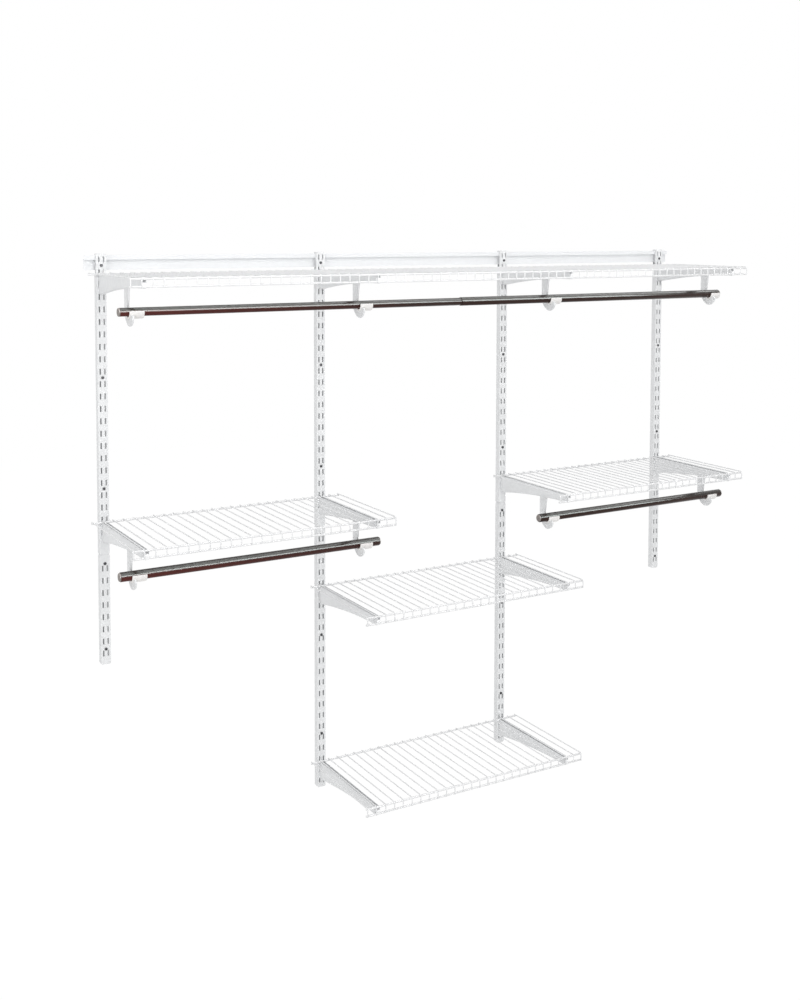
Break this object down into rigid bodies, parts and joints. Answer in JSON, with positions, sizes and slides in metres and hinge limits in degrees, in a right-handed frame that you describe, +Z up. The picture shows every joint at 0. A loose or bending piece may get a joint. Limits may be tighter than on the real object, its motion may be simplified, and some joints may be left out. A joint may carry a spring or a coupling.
{
  "type": "wall mounted closet system",
  "caption": "Wall mounted closet system: a hang rail and slotted uprights carry wire shelves on hooked brackets, with telescoping rods for hangers below them.",
  "frame": {"origin": "middle of the hang rail's back face, on the wall", "axes": "+X along the wall to the right as seen from the room, +Y into the wall, +Z up"},
  "size_m": [1.846, 0.336, 1.4423],
  "materials": {
    "white_paint": "satin white powder coat",
    "white_wire": "glossy white coat on steel wire",
    "white_plastic": "warm white moulded plastic",
    "bronze_metal": "glossy dark bronze coat on steel tube",
    "cap_plastic": "grey-brown moulded plastic"
  },
  "bodies": {
    "wall_frame": {"hang_rail": "white_paint", "upright_upper_1": "white_paint", "upright_upper_2": "white_paint", "upright_upper_3": "white_paint", "upright_upper_4": "white_paint", "upright_lower_1": "white_paint", "upright_lower_2": "white_paint", "upright_lower_3": "white_paint", "upright_lower_4": "white_paint", "top_shelf": "white_wire", "top_bracket_1": "white_paint", "top_bracket_2": "white_paint", "top_bracket_3": "white_paint", "top_bracket_4": "white_paint", "left_shelf": "white_wire", "left_bracket_1": "white_paint", "left_bracket_2": "white_paint", "right_shelf": "white_wire", "right_bracket_3": "white_paint", "right_bracket_4": "white_paint", "middle_shelf": "white_wire", "middle_bracket_2": "white_paint", "middle_bracket_3": "white_paint", "bottom_shelf": "white_wire", "bottom_bracket_2": "white_paint", "bottom_bracket_3": "white_paint", "top_rod_saddle_1": "white_plastic", "top_rod_hook_1": "white_paint", "top_rod_saddle_2": "white_plastic", "top_rod_hook_2": "white_paint", "top_rod_saddle_3": "white_plastic", "top_rod_hook_3": "white_paint", "top_rod_saddle_4": "white_plastic", "top_rod_hook_4": "white_paint", "top_rod_outer": "bronze_metal", "top_rod_cap_right": "cap_plastic", "left_rod_saddle_1": "white_plastic", "left_rod_hook_1": "white_paint", "left_rod_saddle_2": "white_plastic", "left_rod_hook_2": "white_paint", "left_rod_outer": "bronze_metal", "left_rod_cap_right": "cap_plastic", "right_rod_saddle_3": "white_plastic", "right_rod_hook_3": "white_paint", "right_rod_saddle_4": "white_plastic", "right_rod_hook_4": "white_paint", "right_rod_outer": "bronze_metal", "right_rod_cap_right": "cap_plastic"},
    "top_rod_thin_tube": {"top_rod_inner": "bronze_metal", "top_rod_cap_left": "cap_plastic"},
    "left_rod_thin_tube": {"left_rod_inner": "bronze_metal", "left_rod_cap_left": "cap_plastic"},
    "right_rod_thin_tube": {"right_rod_inner": "bronze_metal", "right_rod_cap_left": "cap_plastic"}
  },
  "joints": [
    {"name": "top_rod_slide", "type": "slide", "parent": "wall_frame", "child": "top_rod_thin_tube", "axis": [1, 0, 0], "range_m": [0, 0.75]},
    {"name": "left_rod_slide", "type": "slide", "parent": "wall_frame", "child": "left_rod_thin_tube", "axis": [-1, 0, 0], "range_m": [0, 0.4]},
    {"name": "right_rod_slide", "type": "slide", "parent": "wall_frame", "child": "right_rod_thin_tube", "axis": [-1, 0, 0], "range_m": [0, 0.4]}
  ]
}
